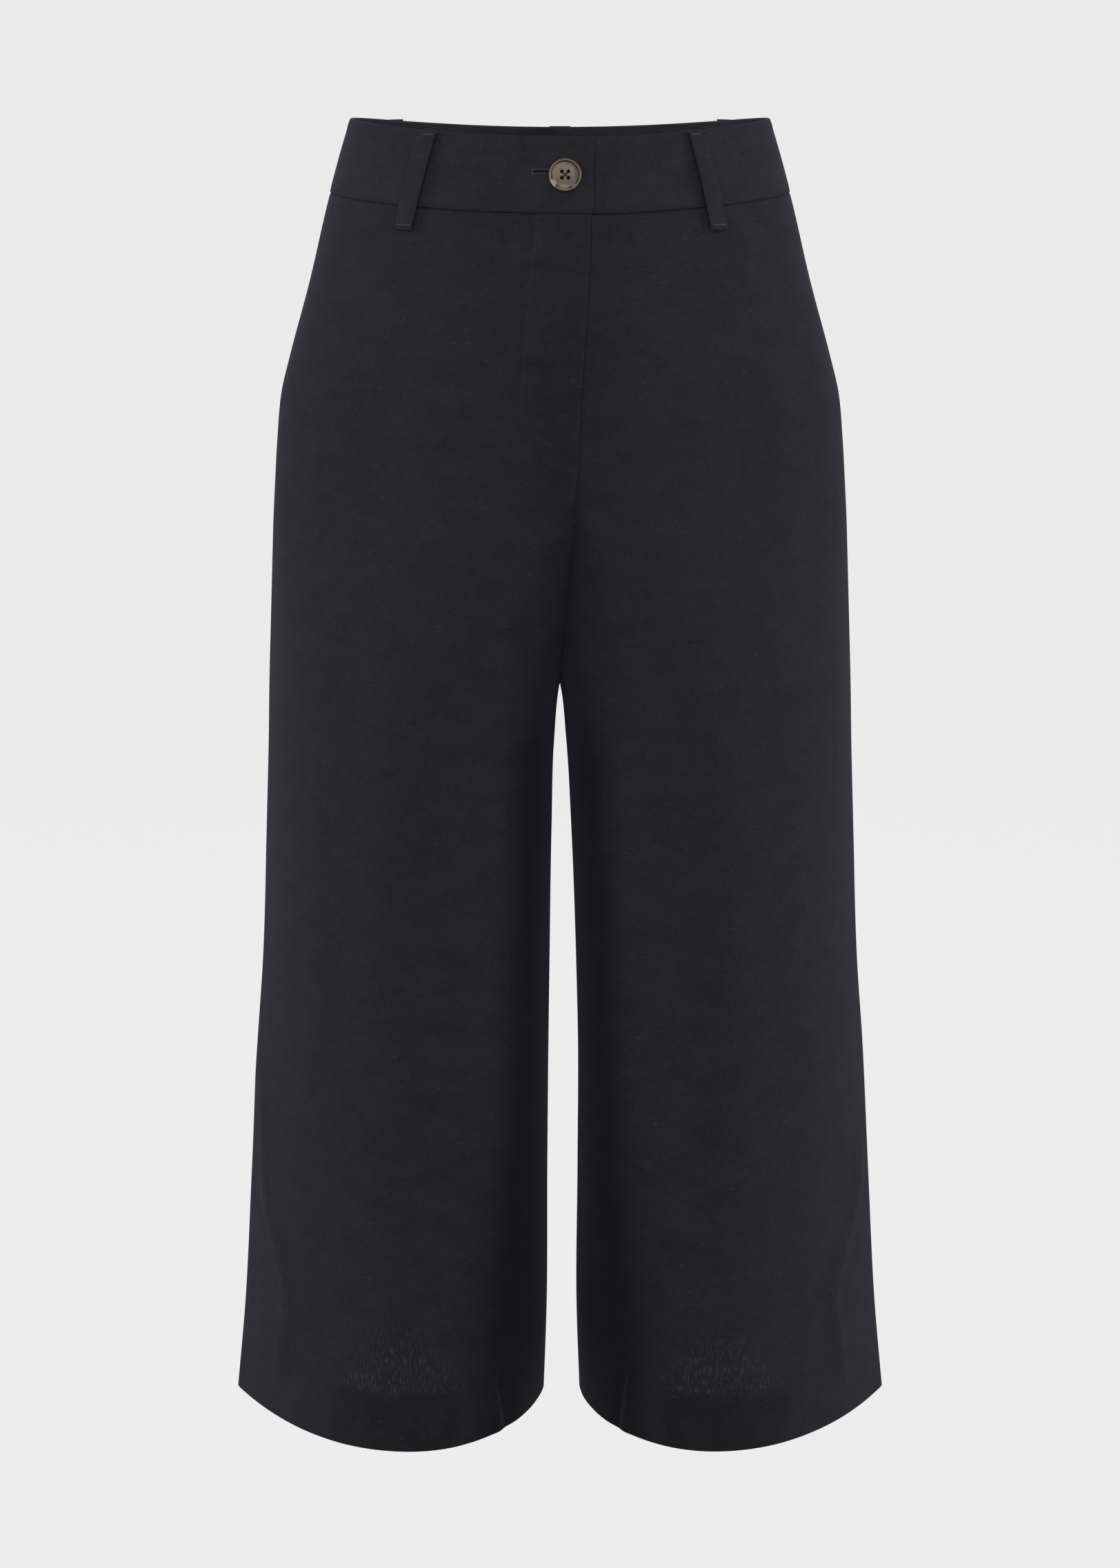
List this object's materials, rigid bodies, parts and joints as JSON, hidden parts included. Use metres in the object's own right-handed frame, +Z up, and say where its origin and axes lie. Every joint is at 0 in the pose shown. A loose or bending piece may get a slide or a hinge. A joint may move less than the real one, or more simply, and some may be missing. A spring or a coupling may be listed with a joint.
{
  "type": "culottes",
  "caption": "Wide-leg cropped trousers in plain navy linen, worn shape and hollow, with a contour waistband, lapped fly, horn button and belt loops",
  "frame": {"origin": "the middle of the waist, level with the middle of the waistband's top edge", "axes": "+Z up the body, -Y to the wearer's front, +X to the wearer's left; the legs hang down -Z"},
  "size_m": [0.4088, 0.2698, 0.7953],
  "materials": {
    "linen": "matt plain-weave linen with fine slubs",
    "band_linen": "matt interfaced linen, two layers",
    "horn": "polished brown horn with pale streaks"
  },
  "bodies": {
    "root": {"front_right": "linen", "front_left": "linen", "back_right": "linen", "back_left": "linen", "waistband_front_right": "band_linen", "waistband_front_left": "band_linen", "waistband_back": "band_linen", "fly_shield": "linen", "belt_loop_front_right": "band_linen", "belt_loop_front_left": "band_linen", "belt_loop_back_right": "band_linen", "belt_loop_back_left": "band_linen", "belt_loop_back_centre": "band_linen", "button": "horn"}
  },
  "joints": []
}
